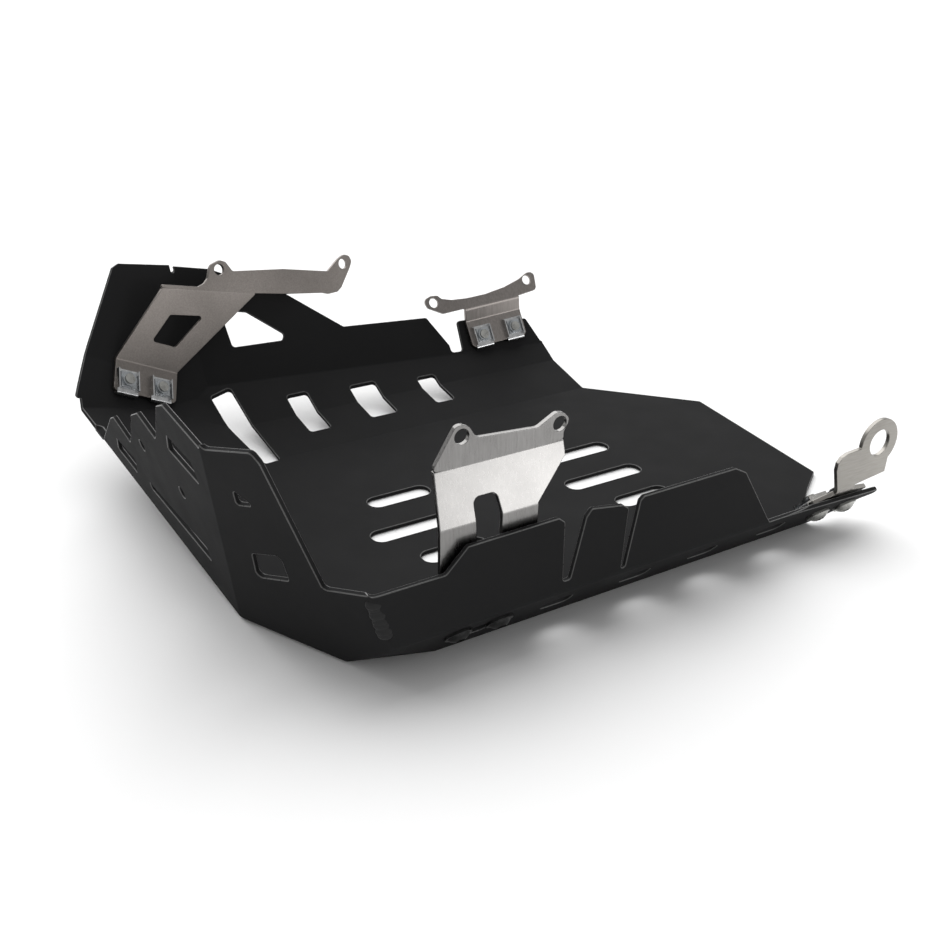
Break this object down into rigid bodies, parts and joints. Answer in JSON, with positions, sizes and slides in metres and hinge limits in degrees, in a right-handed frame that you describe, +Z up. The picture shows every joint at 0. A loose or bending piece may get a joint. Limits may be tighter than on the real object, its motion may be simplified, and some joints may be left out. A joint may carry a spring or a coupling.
{
  "type": "motorcycle engine guard",
  "caption": "Folded sheet tub that shields a motorcycle's engine from below, with slotted floor and toothed nose, and bare steel brackets clipped and screwed inside its walls",
  "frame": {"origin": "middle of the part's box on the plane of its flat underside", "axes": "+Z up, +X from the nose to the rear end, +Y from the notched near wall to the far wall with the window"},
  "size_m": [0.482, 0.4408, 0.1453],
  "materials": {
    "coat": "satin black powder coat with a fine grain",
    "stainless": "bare stainless sheet, brushed",
    "zinc": "bright zinc plate",
    "screw": "plain stainless, slightly dull"
  },
  "bodies": {
    "root": {"guard_plate": "coat", "front_bracket": "stainless", "far_bracket": "stainless", "near_bracket": "stainless", "rear_bracket": "stainless", "front_clip_1": "zinc", "front_nut_1": "zinc", "front_screw_1": "screw", "front_clip_2": "zinc", "front_nut_2": "zinc", "front_screw_2": "screw", "far_clip_1": "zinc", "far_nut_1": "zinc", "far_screw_1": "screw", "far_clip_2": "zinc", "far_nut_2": "zinc", "far_screw_2": "screw", "near_clip_1": "zinc", "near_nut_1": "zinc", "near_screw_1": "screw", "near_clip_2": "zinc", "near_nut_2": "zinc", "near_screw_2": "screw", "rear_clip_1": "zinc", "rear_nut_1": "zinc", "rear_screw_1": "screw", "rear_clip_2": "zinc", "rear_nut_2": "zinc", "rear_screw_2": "screw"}
  },
  "joints": []
}
